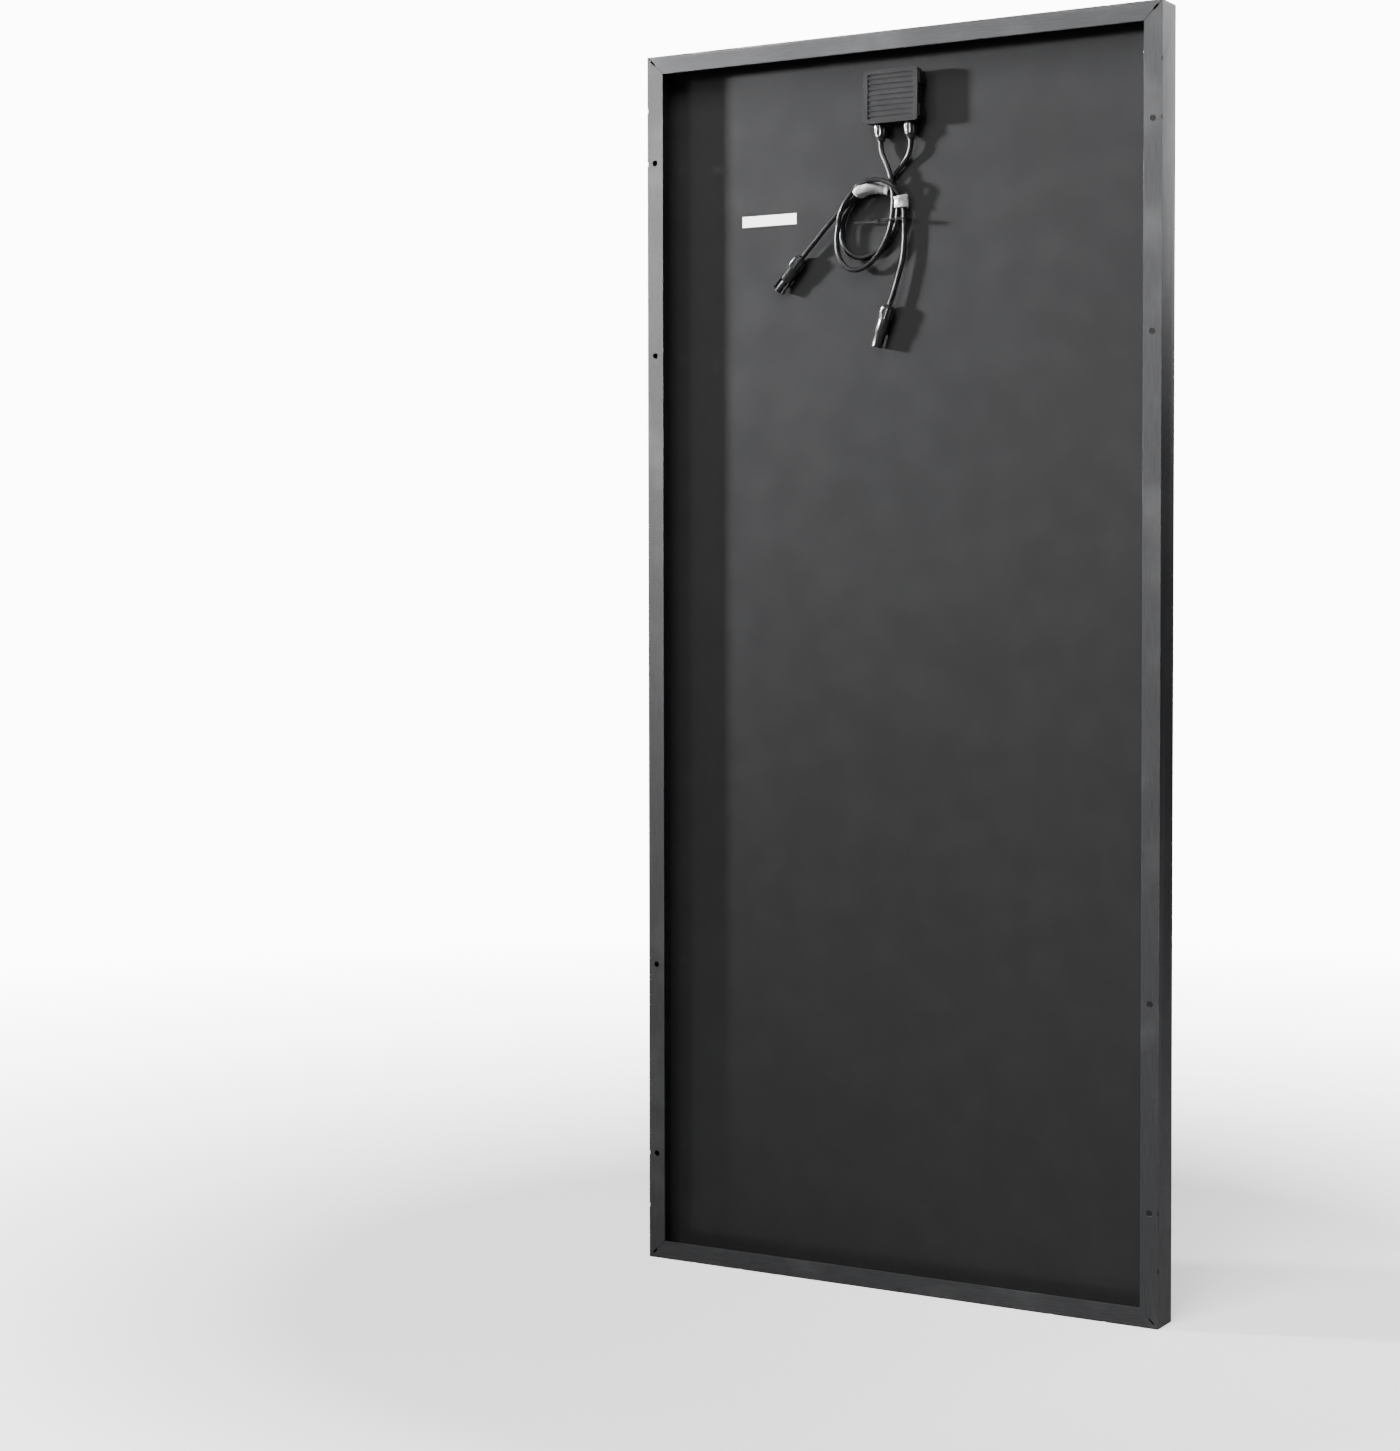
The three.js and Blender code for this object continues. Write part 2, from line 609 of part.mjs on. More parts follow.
/** A copper rail with a clamp block that holds the bare end of one cable. */
function terminal(x) {
  const side = Math.sign(x - BOX_X);
  const innerEdge = BOX_X + side * PLATE_INNER;
  const outerEdge = x + side * RAIL_HALF_WIDTH;
  const plate = block(
    [Math.min(innerEdge, outerEdge), Math.max(innerEdge, outerEdge)],
    TERMINAL_Y,
    [LEAD_SLOT_Z[0], LID_TOP_Z - PLATE_TOP_INSET],
  );
  const clamp = block(
    [x - CLAMP_HALF_WIDTH, x + CLAMP_HALF_WIDTH],
    [TERMINAL_Y[0], CLAMP_FACE_Y],
    CLAMP_SPAN.map((height) => LID_BOTTOM_Z + height),
  );
  const bore = turned(rod(CORE_RADIUS + FIT, 0, HEIGHT), 12);
  return plate.add(clamp).subtract(atGland(bore, x));
}

/** A bypass diode lying across both rails, on bent legs. */
function bypassDiode(z) {
  const body = new THREE.CylinderGeometry(DIODE_RADIUS, DIODE_RADIUS, DIODE_LENGTH, 16);
  body.rotateZ(Math.PI / 2);
  body.translate(BOX_X, DIODE_Y, z);
  const reach = 10.5;
  const wire = 0.6;
  const up = [z - wire, z + wire];
  const crossing = block([BOX_X - reach, BOX_X + reach], [DIODE_Y - wire, DIODE_Y + wire], up);
  const legs = [-reach, reach - 2 * wire].map((x) => block(
    [BOX_X + x, BOX_X + x + 2 * wire],
    [TERMINAL_Y[1] + FIT, DIODE_Y],
    up,
  ));
  return union([solid(body), crossing, ...legs]);
}

function addTerminals() {
  addPart('terminal_positive', terminal(glandX.positive), 'copper');
  addPart('terminal_negative', terminal(glandX.negative), 'copper');
  DIODE_PLACES.forEach((place, index) => {
    addPart(`bypass_diode_${index + 1}`, bypassDiode(LID_BOTTOM_Z + place), 'rubber');
  });
}

// ---------------------------------------------------------------- glands

/** Ribs round a cap nut, for the fingers. */
function gripRibs(radius, [z0, z1]) {
  const ribs = [];
  for (let rib = 0; rib < GRIP_RIBS; rib += 1) {
    const angle = (rib / GRIP_RIBS) * 2 * Math.PI;
    const bar = new THREE.BoxGeometry(1.2, 1.2, z1 - z0);
    bar.rotateZ(Math.PI / 4);
    bar.translate(radius - 0.1, 0, (z0 + z1) / 2);
    bar.rotateZ(angle);
    ribs.push(solid(bar));
  }
  return ribs;
}

function glandNut() {
  const mouth = GLAND_MOUTH_Z;
  const body = turned([
    [CABLE_BORE, mouth],
    [4.6, mouth],
    [5, mouth + 3],
    [GLAND_RADIUS - 0.4, mouth + 6],
    [GLAND_RADIUS - 0.4, GLAND_NUT_TOP_Z],
    [NECK_RADIUS + FIT, GLAND_NUT_TOP_Z],
    [NECK_RADIUS + FIT, mouth + 6.5],
    [CABLE_BORE, mouth + 4],
    [CABLE_BORE, mouth],
  ]);
  return union([body, ...gripRibs(GLAND_RADIUS - 0.4, [mouth + 6.5, GLAND_NUT_TOP_Z - 1])]);
}

function addGlands() {
  const sealTop = NECK_END_Z - FIT;
  const sealBottom = GLAND_MOUTH_Z + 7;
  for (const [pole, x] of Object.entries(glandX)) {
    addPart(`gland_nut_${pole}`, atGland(glandNut(), x), 'box');
    const seal = turned([
      [CABLE_RADIUS + FIT, sealBottom],
      [NECK_RADIUS - FIT, sealBottom],
      [NECK_RADIUS - FIT, sealTop],
      [CABLE_RADIUS + FIT, sealTop],
      [CABLE_RADIUS + FIT, sealBottom],
    ]);
    addPart(`gland_seal_${pole}`, atGland(seal, x), 'rubber');
    const stripped = LID_BOTTOM_Z + STRIP_BACK;
    const held = turned([
      [0, GLAND_MOUTH_Z],
      [CABLE_RADIUS, GLAND_MOUTH_Z],
      [CABLE_RADIUS, stripped],
      [CORE_RADIUS, stripped],
      [CORE_RADIUS, stripped + BARE_LENGTH],
      [0, stripped + BARE_LENGTH],
    ], 16);
    addPart(`cable_${pole}_inner`, atGland(held, x), 'cable');
  }
}

// ---------------------------------------------------------------- free cables

const exitZ = GLAND_MOUTH_Z - FIT;
const positiveStart = [glandX.positive, GLAND_Y, exitZ];
const negativeStart = [glandX.negative, GLAND_Y, exitZ];

// Each connector starts where its cable ends and lies along a direction in X and Z.
const CONNECTORS = {
  positive: { start: [14.3, -3.5, 1163], towards: [16.5, 0, -48] },
  negative: { start: [131, -3.5, 1226], towards: [34, 0, -38] },
};

const leadRoutes = {
  positive: [
    positiveStart, [25.4, -4, 1348], [22, -3, 1339], [16, -1.5, 1326], [11.3, -1.5, 1312],
    [11, -3.5, 1297],
  ],
  negative: [
    negativeStart, [-13.2, -4.3, 1348], [-9, -6, 1340.5], [-2.5, -7.7, 1332], [5, -8.2, 1323.5],
    [12, -8.2, 1313], [18, -8, 1299],
  ],
};

const tailRoutes = {
  positive: [
    [12, 2.8, 1297], [4, 1.5, 1292.5], [-3, -2, 1284], [-5.5, -4, 1271], [-6, -4.5, 1256],
    [-5.5, -4.5, 1238], [-2.5, -4.5, 1216], [2.5, -4.2, 1198], [8, -3.8, 1180],
    CONNECTORS.positive.start,
  ],
  negative: [
    [57, -3, 1288], [68, -1.5, 1287], [80, -1, 1277], [94, -1.5, 1263], [112, -2.5, 1245],
    CONNECTORS.negative.start,
  ],
};

/** The oval that a bundle of turns fills: it leans, so that its top lies towards -X. */
function leaningOval([x, z], { halfWidth, halfHeight, lean }, growth) {
  const width = halfWidth + growth;
  const height = halfHeight + growth;
  const radius = Math.sqrt(width ** 2 - lean ** 2);
  const points = [];
  const steps = 40;
  for (let step = 0; step < steps; step += 1) {
    const angle = (step / steps) * 2 * Math.PI;
    const across = radius * Math.cos(angle) - lean * Math.sin(angle);
    points.push(new THREE.Vector2(x + across, z + height * Math.sin(angle)));
  }
  return points;
}

/** The closed outer shape of the coil, grown by a margin on every side. */
function coilBody(margin = 0) {
  const outline = new THREE.Shape(leaningOval(COIL_CENTRE, COIL_OUTSIDE, margin));
  outline.holes.push(new THREE.Path(leaningOval(COIL_CENTRE, COIL_INSIDE, -margin)));
  return slab(outline, [COIL_BACK_Y - margin, COIL_FRONT_Y + margin]);
}

function addCables() {
  const coil = coilBody();
  const clearOfCoil = coilBody(FIT);
  for (const pole of ['positive', 'negative']) {
    addPart(`cable_${pole}_lead`, cableTube(leadRoutes[pole], 12).subtract(clearOfCoil), 'cable');
    const { start, towards } = CONNECTORS[pole];
    const tail = cableTube(tailRoutes[pole], pole === 'positive' ? 20 : 12);
    addPart(`cable_${pole}_tail`, tail.subtract(clearOfCoil), 'cable');
    addConnector(pole, start, towards);
  }
  addPart('cable_coil', coil, 'cable');

  const sleeve = coilBody(FIT + WRAP_THICK).subtract(clearOfCoil);
  const wideWrap = block(WIDE_WRAP_ACROSS, [FRONT_Y, BACK_Y], WIDE_WRAP_UP);
  addPart('cable_wrap_wide', sleeve.intersect(wideWrap), 'wrap');

  const clearOfTail = cableTube(tailRoutes.positive, 20, CABLE_RADIUS + SMALL_WRAP_CLEARANCE);
  const smallWrap = block(SMALL_WRAP.across, SMALL_WRAP.depth, SMALL_WRAP.up);
  addPart('cable_wrap_small', without(smallWrap, [clearOfCoil, clearOfTail]), 'wrap');

  const band = block(TIE_BAND.across, TIE_BAND.depth, TIE_BAND.up);
  const bound = block(
    shrink(TIE_BAND.across, TIE_BAND.thick),
    shrink(TIE_BAND.depth, TIE_BAND.thick),
    shrink(TIE_BAND.up, -1),
  );
  const end = block([TIE_BAND.across[1] - 0.5, TIE_END.tip], TIE_END.depth, TIE_BAND.up);
  const head = block(TIE_HEAD.across, TIE_HEAD.depth, TIE_HEAD.up);
  addPart('cable_tie', union([band.subtract(bound), end, head]), 'rubber');
}

// ---------------------------------------------------------------- connectors

const NUT_LENGTH = 17;
const BARREL_END = 36;
const CONNECTOR_LENGTH = 51;

function connectorBody(pole) {
  const neck = CONNECTOR_RADIUS - 2.2;
  const nose = pole === 'positive' ? 6.4 : 4.2;
  const bore = pole === 'positive' ? 4.4 : 2.9;
  const body = turned([
    [CABLE_BORE, 6.5],
    [neck, 6.5],
    [neck, NUT_LENGTH + FIT],
    [CONNECTOR_RADIUS - 0.4, NUT_LENGTH + FIT],
    [CONNECTOR_RADIUS - 0.4, BARREL_END - 2],
    [nose, BARREL_END],
    [nose, CONNECTOR_LENGTH],
    [bore, CONNECTOR_LENGTH],
    [bore, BARREL_END - 3],
    [2.3, BARREL_END - 3],
    [2.3, 14],
    [CABLE_BORE, 12],
    [CABLE_BORE, 6.5],
  ]);
  if (pole === 'positive') {
    const windows = block([-9, 9], [-2, 2], [BARREL_END + 3, BARREL_END + 9]);
    return body.subtract(windows);
  }
  const arms = [-1, 1].map((side) => {
    const x = side > 0 ? [5.6, 7.6] : [-7.6, -5.6];
    const hook = side > 0 ? [7, 8.6] : [-8.6, -7];
    const arm = block(x, [-2.6, 2.6], [BARREL_END - 4, CONNECTOR_LENGTH - 1]);
    return arm.add(block(hook, [-2.6, 2.6], [CONNECTOR_LENGTH - 5, CONNECTOR_LENGTH - 2]));
  });
  return union([body, ...arms]);
}

function connectorNut() {
  const neck = CONNECTOR_RADIUS - 2.2 + FIT;
  const radius = CONNECTOR_RADIUS - 0.4;
  const body = turned([
    [CABLE_BORE, 0],
    [4.8, 0],
    [radius, 3.5],
    [radius, NUT_LENGTH],
    [neck, NUT_LENGTH],
    [neck, 3.4],
    [CABLE_BORE, 2.4],
    [CABLE_BORE, 0],
  ]);
  return union([body, ...gripRibs(radius, [4, NUT_LENGTH - 1])]);
}

/** One free connector: its own +Z runs from the cable to the mating face. */
function addConnector(pole, start, towards) {
  const connector = new THREE.Group();
  connector.position.set(...start);
  const direction = new THREE.Vector3(...towards).normalize();
  connector.quaternion.setFromUnitVectors(new THREE.Vector3(0, 0, 1), direction);
  connector.translateZ(FIT);
  panel.add(connector);
  addPart(`connector_${pole}_body`, connectorBody(pole), 'box', connector);
  addPart(`connector_${pole}_nut`, connectorNut(), 'box', connector);
  const contact = turned([[0, 12.5], [1.9, 14.5], [1.9, 46], [0, 47.5]], 12);
  addPart(`connector_${pole}_contact`, contact, 'copper', connector);
  const seal = turned([
    [CABLE_RADIUS + FIT, 3.8],
    [5.4, 3.8],
    [5.4, 6.1],
    [CABLE_RADIUS + FIT, 6.1],
    [CABLE_RADIUS + FIT, 3.8],
  ]);
  addPart(`connector_${pole}_seal`, seal, 'rubber', connector);
}

addFrame();
addCornerKeys();
addLaminate();
addJunctionBox();
addTerminals();
addGlands();
addCables();

export default panel;
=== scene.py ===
"""The looks of a framed solar panel: finishes, softened edges, cables, film wraps, floor and light.

Lengths are metres unless a name ends in _mm. The glass faces -Y and the junction box +Y.
"""

import math

import bmesh
import bpy
from mathutils import Matrix, Vector, noise
from mathutils.geometry import interpolate_bezier


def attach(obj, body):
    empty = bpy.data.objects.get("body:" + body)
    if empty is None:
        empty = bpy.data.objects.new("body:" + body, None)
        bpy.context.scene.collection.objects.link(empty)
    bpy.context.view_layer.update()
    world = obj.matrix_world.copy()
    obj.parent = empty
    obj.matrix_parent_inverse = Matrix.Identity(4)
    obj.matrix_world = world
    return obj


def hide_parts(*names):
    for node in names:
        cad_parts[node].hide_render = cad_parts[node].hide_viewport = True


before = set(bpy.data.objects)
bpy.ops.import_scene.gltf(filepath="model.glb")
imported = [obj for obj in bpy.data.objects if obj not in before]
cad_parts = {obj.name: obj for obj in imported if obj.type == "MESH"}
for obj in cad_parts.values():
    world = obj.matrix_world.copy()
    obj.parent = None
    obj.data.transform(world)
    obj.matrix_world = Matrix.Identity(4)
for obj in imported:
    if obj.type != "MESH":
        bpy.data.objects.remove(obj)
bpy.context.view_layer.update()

MM = 0.001
PANEL = "panel"
HEIGHT = 1.48

# Half-cut cells in four strings, counted from the bottom and from -X.
CELL_WIDTH = 0.15875
CELL_HEIGHT = CELL_WIDTH / 2
STRINGS = 4
ROWS = 18
STRING_PITCH = CELL_WIDTH + 0.0026
ROW_PITCH = CELL_HEIGHT + 0.001
CELLS_LEFT = -(CELL_WIDTH + (STRINGS - 1) * STRING_PITCH) / 2
CELLS_BOTTOM = (HEIGHT - CELL_HEIGHT - (ROWS - 1) * ROW_PITCH) / 2
RIBBONS = 9
RIBBON_PITCH = 0.01724


def place_mm(points):
    """Points in millimetres as vectors in metres."""
    return [Vector(point) * MM for point in points]


# ---------------------------------------------------------------- camera

CAMERA_PLACE = (-1.4823, 2.9372, 0.8388)
CAMERA_AZIMUTH = math.radians(210.86)
CAMERA_ELEVATION = math.radians(1.772)
CAMERA_ROLL = math.radians(-0.085)


def make_camera():
    """A camera that looks at the back from behind and from the -X side, nearly level."""
    data = bpy.data.cameras.new("camera")
    data.sensor_width = 36
    data.lens = 69.1
    data.shift_y = -0.0403
    camera = bpy.data.objects.new("camera", data)
    bpy.context.scene.collection.objects.link(camera)
    bpy.context.scene.camera = camera
    back = Vector((
        math.sin(CAMERA_AZIMUTH) * math.cos(CAMERA_ELEVATION),
        -math.cos(CAMERA_AZIMUTH) * math.cos(CAMERA_ELEVATION),
        math.sin(CAMERA_ELEVATION),
    ))
    camera.location = CAMERA_PLACE
    camera.rotation_mode = "QUATERNION"
    level = (-back).to_track_quat("-Z", "Y")
    camera.rotation_quaternion = level @ Matrix.Rotation(CAMERA_ROLL, 3, "Z").to_quaternion()


make_camera()

# ---------------------------------------------------------------- cable routes

CABLE_DIAMETER = 0.006
CURVE_STEPS = 6
GLAND_MOUTH_MM = 1355.2
POSITIVE_EXIT_MM = (25.5, -4, GLAND_MOUTH_MM)
NEGATIVE_EXIT_MM = (-13.5, -4, GLAND_MOUTH_MM)


def leaning_turn(centre, across, up, lean, angles, depths):
    """Points of one turn of the coil. Its top leans towards -X, and depths gives Y along the turn."""
    points = []
    last = len(angles) - 1
    for index, angle in enumerate(angles):
        turn = math.radians(angle)
        share = index / last * (len(depths) - 1)
        step = min(int(share), len(depths) - 2)
        depth = depths[step] + (depths[step + 1] - depths[step]) * (share - step)
        height = up[0] + (up[1] - up[0]) * index / last
        points.append((
            centre[0] + across * math.cos(turn) - lean * math.sin(turn),
            depth,
            centre[1] + height * math.sin(turn),
        ))
    return points


positive_route_mm = [
    POSITIVE_EXIT_MM, (25.5, -4, 1348.5), (23.2, -3.4, 1340), (18.5, -2.2, 1331), (14, -1.5, 1321),
    (10.9, -1.2, 1311), (9.3, -0.9, 1301), (8.0, -0.7, 1292), (7.6, -0.6, 1282), (8.6, -0.5, 1271),
    *leaning_turn((45.5, 1259), 35, (52.5, 52.5), 12, range(180, 361, 15), (-0.5, -0.5, -0.5, 0.2)),
    (78, 2.6, 1268.5), (74.2, 4.7, 1276.5), (69.8, 5.7, 1284), (64.5, 6.1, 1291),
    (57.4, 6.3, 1298.3), (48.7, 6.3, 1304.6), (38.6, 6.3, 1308.9), (27, 6.3, 1310),
    (15.8, 6.3, 1307.4), (7, 5.6, 1302), (0.6, 3, 1295), (-3, -0.6, 1287.5), (-4.6, -2.8, 1279.5),
    (-5, -3.8, 1270), (-5, -4.4, 1256), (-4.8, -4.5, 1238), (-2.5, -4.5, 1216),
    (2.5, -4.2, 1198), (8, -3.8, 1180), (14.3, -3.5, 1163),
]
negative_route_mm = [
    NEGATIVE_EXIT_MM, (-13.5, -4, 1348.5), (-11.5, -4.8, 1341), (-6.5, -6.4, 1333.5),
    (0, -7.8, 1326.5), (7, -8.4, 1319.5), (14, -8.6, 1312.5), (21, -8.6, 1307.3),
    *leaning_turn((43, 1262), 36, (42, 38), 10, range(95, -266, -15),
                  (-8.6, -8.6, -8.6, -8.6, -8.6, -8.8, -8.4, -4.2)),
    (41, -2.9, 1298.8), (50, -2, 1296.8), (57.5, -1.4, 1293.3), (64.5, -1, 1288.3),
    (72, -0.9, 1282), (80, -1, 1275.5), (94, -1.5, 1263), (112, -2.5, 1245), (131, -3.5, 1226),
]


def lay_cable(name, route_mm):
    """A round cable along a smooth curve through its route, and the points of that curve."""
    data = bpy.data.curves.new(name, "CURVE")
    data.dimensions = "3D"
    data.bevel_depth = CABLE_DIAMETER / 2
    data.bevel_resolution = 6
    data.resolution_u = CURVE_STEPS
    data.use_fill_caps = True
    spline = data.splines.new("BEZIER")
    spline.bezier_points.add(len(route_mm) - 1)
    for knot, point in zip(spline.bezier_points, place_mm(route_mm)):
        knot.co = point
        knot.handle_left_type = knot.handle_right_type = "AUTO"
    guide = bpy.data.objects.new(f"{name}_guide", data)
    bpy.context.scene.collection.objects.link(guide)
    bpy.context.view_layer.update()
    knots = list(spline.bezier_points)
    path = []
    for knot, following in zip(knots, knots[1:]):
        path.extend(interpolate_bezier(
            knot.co, knot.handle_right, following.handle_left, following.co, CURVE_STEPS + 1
        )[:-1])
    path.append(knots[-1].co.copy())
    mesh = bpy.data.meshes.new_from_object(guide)
    mesh.name = name
    bpy.data.objects.remove(guide)
    mesh.shade_smooth()
    cable = bpy.data.objects.new(name, mesh)
    bpy.context.scene.collection.objects.link(cable)
    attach(cable, PANEL)
    return cable, [tuple(point) for point in path]


positive_cable, positive_path = lay_cable("positive_cable", positive_route_mm)
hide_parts("cable_positive_lead", "cable_positive_tail", "cable_coil")
negative_cable, negative_path = lay_cable("negative_cable", negative_route_mm)
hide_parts("cable_negative_lead", "cable_negative_tail", "cable_coil")

# ---------------------------------------------------------------- finishes


class Finish:
    """A material with one Principled shader, to which grain, tint, gloss and relief are added."""

    def __init__(self, name, colour, roughness, metallic=0.0, **sockets):
        self.material = bpy.data.materials.new(name)
        self.material.use_nodes = True
        self.nodes = self.material.node_tree.nodes
        self.links = self.material.node_tree.links
        self.shader = self.nodes["Principled BSDF"]
        self.shader.inputs["Base Color"].default_value = (*colour, 1)
        self.shader.inputs["Roughness"].default_value = roughness
        self.shader.inputs["Metallic"].default_value = metallic
        for socket, value in sockets.items():
            self.shader.inputs[socket.replace("_", " ")].default_value = value
        self.height = None

    def node(self, kind, **inputs):
        made = self.nodes.new(kind)
        for socket, value in inputs.items():
            self.feed(value, made.inputs[socket.replace("_", " ")])
        return made

    def feed(self, value, socket):
        """A node's output is linked to the socket, and anything else is its value."""
        if isinstance(value, bpy.types.NodeSocket):
            self.links.new(value, socket)
        else:
            socket.default_value = value

    def place(self, stretch=(1, 1, 1), turn=(0, 0, 0)):
        """Object coordinates, stretched and turned."""
        mapping = self.node("ShaderNodeMapping", Scale=stretch, Rotation=turn)
        coordinates = self.node("ShaderNodeTexCoord")
        self.links.new(coordinates.outputs["Object"], mapping.inputs["Vector"])
        return mapping.outputs["Vector"]

    def axis(self, letter):
        """One of the Object coordinates, in metres."""
        split = self.node("ShaderNodeSeparateXYZ", Vector=self.place())
        return split.outputs[letter]

    def sum(self, operation, first, second=0.0, third=None):
        made = self.nodes.new("ShaderNodeMath")
        made.operation = operation
        self.feed(first, made.inputs[0])
        self.feed(second, made.inputs[1])
        if third is not None:
            self.feed(third, made.inputs[2])
        return made.outputs[0]

    def grain(self, scale, detail=3.0, stretch=(1, 1, 1), turn=(0, 0, 0)):
        made = self.node("ShaderNodeTexNoise", Vector=self.place(stretch, turn), Scale=scale, Detail=detail)
        return made.outputs["Fac"]

    def ramp(self, value, low, high, start=0.0, end=1.0):
        """value between low and high becomes start to end."""
        made = self.node("ShaderNodeMapRange", Value=value)
        for socket, number in (("From Min", low), ("From Max", high), ("To Min", start), ("To Max", end)):
            made.inputs[socket].default_value = number
        return made.outputs["Result"]

    def tint(self, mask, colour):
        """The base colour becomes colour where mask is 1."""
        socket = self.shader.inputs["Base Color"]
        mixer = self.nodes.new("ShaderNodeMix")
        mixer.data_type = "RGBA"
        before = socket.links[0].from_socket if socket.is_linked else tuple(socket.default_value)
        self.feed(before, mixer.inputs["A"])
        self.feed((*colour, 1), mixer.inputs["B"])
        self.links.new(mask, mixer.inputs["Factor"])
        self.links.new(mixer.outputs["Result"], socket)
        return self

    def gloss(self, mask, smooth, rough):
        """Roughness runs from smooth, where mask is 0, to rough."""
        self.links.new(self.ramp(mask, 0, 1, smooth, rough), self.shader.inputs["Roughness"])
        return self

    def relief(self, height, depth, strength=1.0):
        """A bump of that depth in metres, on top of any before it."""
        bump = self.node("ShaderNodeBump", Height=height, Distance=depth, Strength=strength)
        if self.height is not None:
            self.links.new(self.height, bump.inputs["Normal"])
        self.height = bump.outputs["Normal"]
        self.links.new(self.height, self.shader.inputs["Normal"])
        return self


def anodised_frame(name, along):
    """Black anodised aluminium whose drawn grain runs along one axis."""
    finish = Finish(name, (0.045, 0.0455, 0.047), 0.36, 0.6)
    stretch = tuple(0.035 if axis == along else 1.0 for axis in "XYZ")
    lines = finish.grain(900, 3, stretch)
    cloud = finish.grain(14, 4)
    speck = finish.grain(2600, 2)
    finish.tint(finish.ramp(lines, 0.42, 0.68), (0.033, 0.0333, 0.0345))
    finish.tint(finish.ramp(cloud, 0.5, 0.75, 0.0, 0.6), (0.07, 0.0705, 0.072))
    finish.gloss(finish.sum("MULTIPLY_ADD", lines, 0.6, finish.sum("MULTIPLY", cloud, 0.4)), 0.24, 0.5)
    finish.relief(lines, 0.00003, 0.5)
    finish.relief(speck, 0.00002, 0.4)
    return finish.material


def cast_aluminium():
    finish = Finish("cast_aluminium", (0.42, 0.43, 0.44), 0.5, 0.9)
    grain = finish.grain(420, 4)
    finish.tint(finish.ramp(grain, 0.45, 0.7), (0.3, 0.31, 0.32))
    finish.gloss(grain, 0.35, 0.65)
    return finish.relief(grain, 0.0001, 0.5).material


def black_rubber():
    finish = Finish("black_rubber", (0.012, 0.012, 0.012), 0.6)
    grain = finish.grain(600, 3)
    finish.tint(finish.ramp(grain, 0.5, 0.75), (0.028, 0.028, 0.027))
    finish.gloss(grain, 0.5, 0.75)
    return finish.relief(grain, 0.00005, 0.5).material


def panel_glass():
    """Clear low-iron glass, wiped but not spotless. Lamps shine through it."""
    finish = Finish("panel_glass", (0.97, 0.985, 0.98), 0.02, Transmission_Weight=1.0, IOR=1.45,
                    Specular_IOR_Level=0.3)
    finish.gloss(finish.grain(120, 3), 0.004, 0.03)
    clear = finish.node("ShaderNodeBsdfTransparent", Color=(0.93, 0.95, 0.94, 1))
    rays = finish.node("ShaderNodeLightPath")
    mixer = finish.nodes.new("ShaderNodeMixShader")
    finish.links.new(rays.outputs["Is Shadow Ray"], mixer.inputs[0])
    finish.links.new(finish.shader.outputs[0], mixer.inputs[1])
    finish.links.new(clear.outputs[0], mixer.inputs[2])
    finish.links.new(mixer.outputs[0], finish.nodes["Material Output"].inputs["Surface"])
    return finish.material


def clear_film():
    finish = Finish("clear_film", (0.5, 0.52, 0.53), 0.35, Alpha=0.006)
    cloud = finish.grain(30, 3)
    return finish.gloss(cloud, 0.3, 0.45).material


FINGER_PITCH = 0.0013


def solar_cell():
    """Blue-black silicon: fine printed fingers and a tone of its own for each half cell."""
    finish = Finish("solar_cell", (0.004, 0.0045, 0.0068), 0.36, Specular_IOR_Level=0.15)
    across, up = finish.axis("X"), finish.axis("Z")
    column = finish.sum("DIVIDE", finish.sum("SUBTRACT", across, CELLS_LEFT), STRING_PITCH)
    row = finish.sum("DIVIDE", finish.sum("SUBTRACT", up, CELLS_BOTTOM), ROW_PITCH)
    cell = finish.node(
        "ShaderNodeCombineXYZ", X=finish.sum("FLOOR", column), Z=finish.sum("FLOOR", row)
    )
    tone = finish.node("ShaderNodeTexWhiteNoise", Vector=cell.outputs[0]).outputs["Value"]
    cloud = finish.grain(9, 4)
    crystal = finish.grain(700, 3)
    finger = finish.sum("PINGPONG", up, FINGER_PITCH / 2)
    line = finish.ramp(finger, 0.00002, 0.00009, 1.0, 0.0)
    finish.tint(finish.ramp(tone, 0, 1, 0.0, 0.6), (0.0075, 0.008, 0.011))
    finish.tint(finish.ramp(cloud, 0.45, 0.75, 0.0, 0.5), (0.009, 0.0095, 0.0125))
    finish.tint(finish.ramp(crystal, 0.55, 0.75, 0.0, 0.5), (0.014, 0.015, 0.018))
    finish.tint(finish.sum("MULTIPLY", line, 0.3), (0.1, 0.1, 0.11))
    finish.gloss(finish.sum("MULTIPLY_ADD", tone, 0.5, finish.sum("MULTIPLY", crystal, 0.5)), 0.25, 0.5)
    finish.relief(crystal, 0.00003, 0.4)
    finish.relief(line, 0.00002, 0.5)
    return finish.material


def tinned_ribbon():
    finish = Finish("tinned_ribbon", (0.72, 0.73, 0.74), 0.3, 0.85)
    solder = finish.grain(300, 4, (1, 1, 0.25))
    finish.tint(finish.ramp(solder, 0.45, 0.7), (0.5, 0.51, 0.53))
    finish.gloss(solder, 0.2, 0.5)
    return finish.relief(solder, 0.00005, 0.6).material


def tinned_copper():
    finish = Finish("tinned_copper", (0.72, 0.38, 0.2), 0.3, 0.95)
    cloud = finish.grain(260, 4)
    finish.tint(finish.ramp(cloud, 0.45, 0.65), (0.5, 0.47, 0.44))
    finish.gloss(cloud, 0.22, 0.5)
    return finish.relief(cloud, 0.00004, 0.5).material


RIBBON_SHIFT = 0.0015


